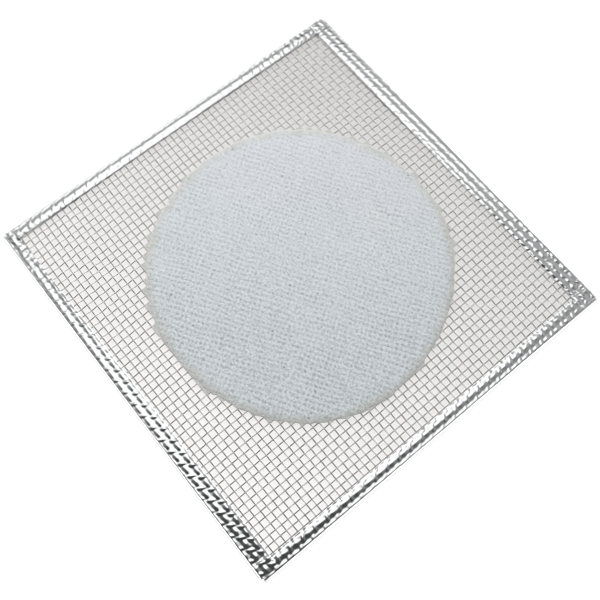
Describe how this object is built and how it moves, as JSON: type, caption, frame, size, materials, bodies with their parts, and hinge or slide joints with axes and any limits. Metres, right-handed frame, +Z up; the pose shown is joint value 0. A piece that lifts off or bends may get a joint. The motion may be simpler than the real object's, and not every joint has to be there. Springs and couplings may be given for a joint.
{
  "type": "wire gauze",
  "caption": "Square of woven iron wire with a round ceramic centre and folded tinplate edges, laid over a flame to spread its heat under glassware.",
  "frame": {"origin": "under the middle of the square, on the plane that the gauze rests on", "axes": "+Z up through the thickness, +X and +Y along the sides, with the lapped strips on the two sides across X"},
  "size_m": [0.125, 0.125, 0.0018],
  "materials": {
    "iron_wire": "drawn iron wire, dull grey",
    "ceramic": "matt, fine-grained, unglazed",
    "tinplate": "bright tinplate, pressed into bumps"
  },
  "bodies": {
    "root": {"wire_mesh": "iron_wire", "ceramic_disc": "ceramic", "left_strip": "tinplate", "right_strip": "tinplate", "back_strip": "tinplate", "front_strip": "tinplate"}
  },
  "joints": []
}
